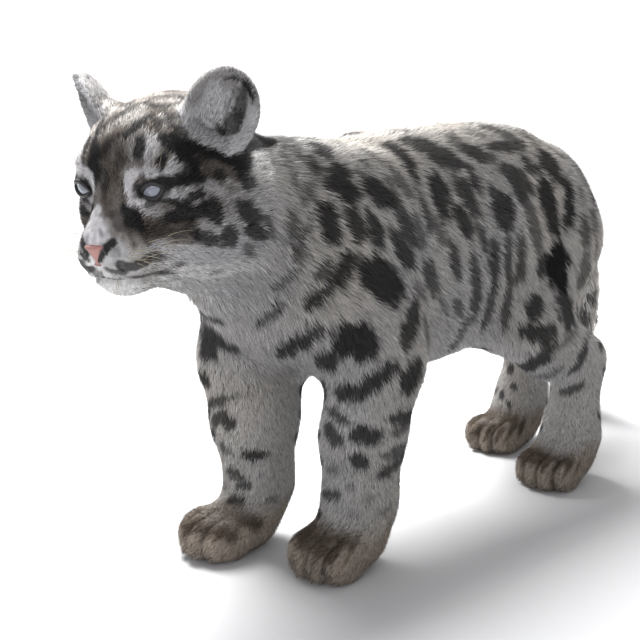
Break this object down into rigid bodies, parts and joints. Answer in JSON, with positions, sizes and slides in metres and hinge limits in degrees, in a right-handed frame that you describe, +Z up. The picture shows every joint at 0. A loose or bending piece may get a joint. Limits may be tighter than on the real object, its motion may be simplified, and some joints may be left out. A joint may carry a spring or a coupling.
{
  "type": "snow leopard",
  "caption": "Young snow leopard standing on four feet, head turned a little to its left, long tail low behind it and curved up at the tip.",
  "frame": {"origin": "on the ground under the middle of the animal's box", "axes": "+Z up; the animal faces -Y; its left side is +X"},
  "size_m": [0.4576, 1.2008, 0.5447],
  "materials": {
    "coat": "dense fur, grey cream with charcoal spots",
    "paw": "short dense fur, brown grey",
    "eye": "wet, pale blue grey",
    "nose": "damp bare skin, salmon pink",
    "claw": "smooth dark horn"
  },
  "bodies": {
    "root": {"belly": "coat", "cannon_left": "coat", "cannon_right": "coat", "chest": "coat", "claw_fore_left_1": "claw", "claw_fore_left_2": "claw", "claw_fore_left_3": "claw", "claw_fore_left_4": "claw", "claw_fore_right_1": "claw", "claw_fore_right_2": "claw", "claw_fore_right_3": "claw", "claw_fore_right_4": "claw", "claw_hind_left_1": "claw", "claw_hind_left_2": "claw", "claw_hind_left_3": "claw", "claw_hind_left_4": "claw", "claw_hind_right_1": "claw", "claw_hind_right_2": "claw", "claw_hind_right_3": "claw", "claw_hind_right_4": "claw", "ear_left": "coat", "ear_right": "coat", "eye_left": "eye", "eye_right": "eye", "forearm_left": "coat", "forearm_right": "coat", "forepaw_left": "paw", "forepaw_right": "paw", "head": "coat", "hindpaw_left": "paw", "hindpaw_right": "paw", "neck": "coat", "nose_pad": "nose", "rump": "coat", "shank_left": "coat", "shank_right": "coat", "tail_1": "coat", "tail_2": "coat", "tail_3": "coat", "tail_4": "coat", "thigh_left": "coat", "thigh_right": "coat", "upper_foreleg_left": "coat", "upper_foreleg_right": "coat"}
  },
  "joints": []
}
